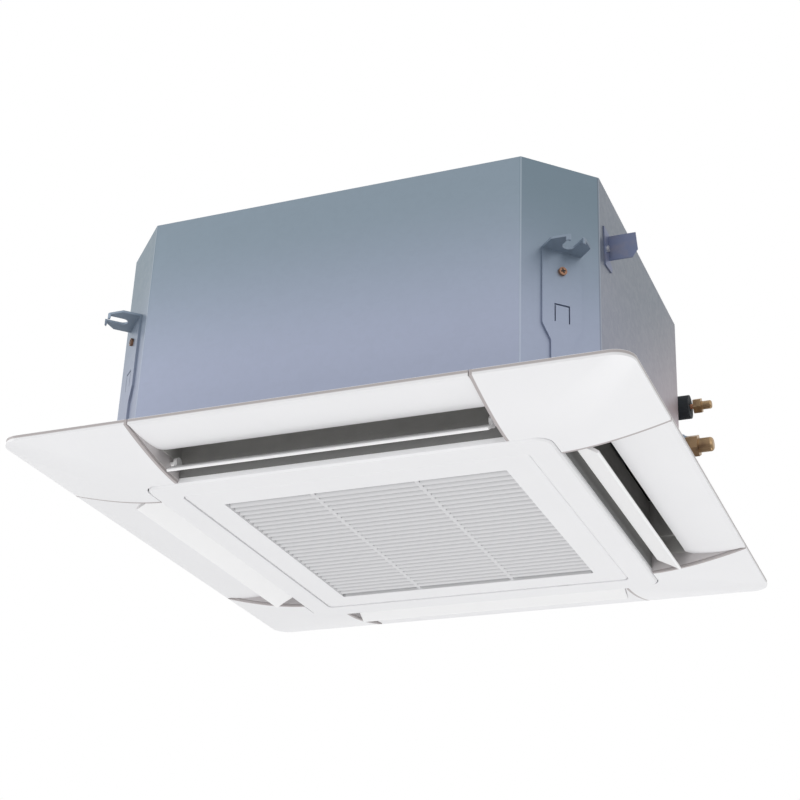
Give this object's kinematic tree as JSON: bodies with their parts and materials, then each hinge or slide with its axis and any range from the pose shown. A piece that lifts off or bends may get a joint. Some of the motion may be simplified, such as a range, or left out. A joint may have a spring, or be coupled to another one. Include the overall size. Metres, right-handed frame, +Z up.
{
  "type": "ceiling cassette air conditioner",
  "caption": "Four-way ceiling cassette indoor unit: square panel with suction grille and swinging flaps below a hung steel casing with fan, coil, drain pump and pipes.",
  "frame": {"origin": "centre of the ceiling opening, in the plane of the finished ceiling, where the top of the panel's rim lies", "axes": "+Z up into the ceiling void, -Y towards the front, +X towards the side with the refrigerant pipes"},
  "size_m": [0.7, 0.7, 0.3105],
  "materials": {
    "white_plastic": "moulded white plastic, softly glossy",
    "flap_plastic": "pale moulded plastic",
    "grey_plastic": "grey moulded plastic",
    "black_plastic": "dark moulded plastic",
    "float_plastic": "pale foamed plastic",
    "filter_mesh": "dark woven plastic net in a frame",
    "galvanised": "galvanised sheet steel, dull",
    "bracket_steel": "passivated steel, faint violet",
    "steel": "zinc-plated steel",
    "copper_screw": "yellow-passivated screw",
    "copper": "bright copper tube",
    "brass": "machined brass",
    "fin_aluminium": "close aluminium fins",
    "motor_paint": "black enamelled motor can",
    "board": "bare circuit board with plain blocks",
    "rubber": "black rubber",
    "grey_rubber": "grey flexible hose",
    "foam_white": "white foam with a smooth skin",
    "foam_black": "dark closed-cell foam",
    "sleeve_foam": "dark grey pipe insulation"
  },
  "bodies": {
    "unit": {"bell_mouth": "black_plastic", "cable_grommet": "rubber", "casing_shell": "galvanised", "catch_housings": "grey_plastic", "centre_frame": "white_plastic", "coil_end_plates": "galvanised", "control_board": "board", "control_box": "galvanised", "control_box_cover": "galvanised", "corner_cover_front_left": "white_plastic", "corner_cover_front_right": "white_plastic", "corner_cover_rear_left": "white_plastic", "corner_cover_rear_right": "white_plastic", "drain_hose": "grey_rubber", "drain_pan": "foam_white", "drain_pump": "grey_plastic", "drain_socket": "white_plastic", "fan_motor": "motor_paint", "flap_motors": "grey_plastic", "float_switch": "white_plastic", "gas_cap": "brass", "gas_header": "copper", "gas_nut": "brass", "gas_pipe": "copper", "gas_sleeve": "sleeve_foam", "hanger_front_left": "galvanised", "hanger_front_right": "galvanised", "hanger_rear_left": "galvanised", "hanger_rear_right": "galvanised", "hanger_screws": "copper_screw", "heat_exchanger": "fin_aluminium", "insulation_liner": "foam_black", "liquid_cap": "brass", "liquid_nut": "brass", "liquid_pipe": "copper", "liquid_sleeve": "sleeve_foam", "motor_mounts": "rubber", "panel_frame": "white_plastic", "panel_screws": "steel", "panel_seal": "foam_black", "pipe_corner_bracket": "galvanised", "return_bends": "copper", "side_bracket": "bracket_steel", "side_bracket_screw": "steel", "top_plate": "galvanised"},
    "fan": {"turbo_fan": "black_plastic", "motor_shaft": "steel", "fan_nut": "steel"},
    "pump_rotor": {"pump_impeller": "white_plastic"},
    "float": {"switch_float": "float_plastic"},
    "grille": {"suction_grille": "white_plastic", "hinge_pins": "steel", "air_filter": "filter_mesh", "strike_plates": "steel"},
    "catch_left": {"catch_plunger_left": "steel"},
    "catch_right": {"catch_plunger_right": "steel"},
    "flap_front": {"flap_front": "flap_plastic"},
    "flap_right": {"flap_right": "flap_plastic"},
    "flap_rear": {"flap_rear": "flap_plastic"},
    "flap_left": {"flap_left": "flap_plastic"}
  },
  "joints": [
    {"name": "fan_spin", "type": "hinge", "parent": "unit", "child": "fan", "pos_m": [0, 0, 0.206], "axis": [0, 0, 1], "continuous": true},
    {"name": "pump_spin", "type": "hinge", "parent": "unit", "child": "pump_rotor", "pos_m": [0.172, 0.2, 0.141], "axis": [0, 0, 1], "continuous": true},
    {"name": "float_lift", "type": "slide", "parent": "unit", "child": "float", "axis": [0, 0, 1], "range_m": [0, 0.008]},
    {"name": "grille_swing", "type": "hinge", "parent": "unit", "child": "grille", "pos_m": [0, 0.1944, -0.0242], "axis": [1, 0, 0], "range_deg": [0, 90]},
    {"name": "catch_left_push", "type": "slide", "parent": "unit", "child": "catch_left", "axis": [0, 0, 1], "range_m": [0, 0.004], "stiffness_N_per_m": 300},
    {"name": "catch_right_push", "type": "slide", "parent": "unit", "child": "catch_right", "axis": [0, 0, 1], "range_m": [0, 0.004], "stiffness_N_per_m": 300},
    {"name": "flap_front_swing", "type": "hinge", "parent": "unit", "child": "flap_front", "pos_m": [0, -0.254, -0.0115], "axis": [-1, 0, 0], "range_deg": [-30, 40]},
    {"name": "flap_right_swing", "type": "hinge", "parent": "unit", "child": "flap_right", "pos_m": [0.254, 0, -0.0115], "axis": [0, -1, 0], "range_deg": [-30, 40]},
    {"name": "flap_rear_swing", "type": "hinge", "parent": "unit", "child": "flap_rear", "pos_m": [0, 0.254, -0.0115], "axis": [1, 0, 0], "range_deg": [-30, 40]},
    {"name": "flap_left_swing", "type": "hinge", "parent": "unit", "child": "flap_left", "pos_m": [-0.254, 0, -0.0115], "axis": [0, 1, 0], "range_deg": [-30, 40]}
  ]
}
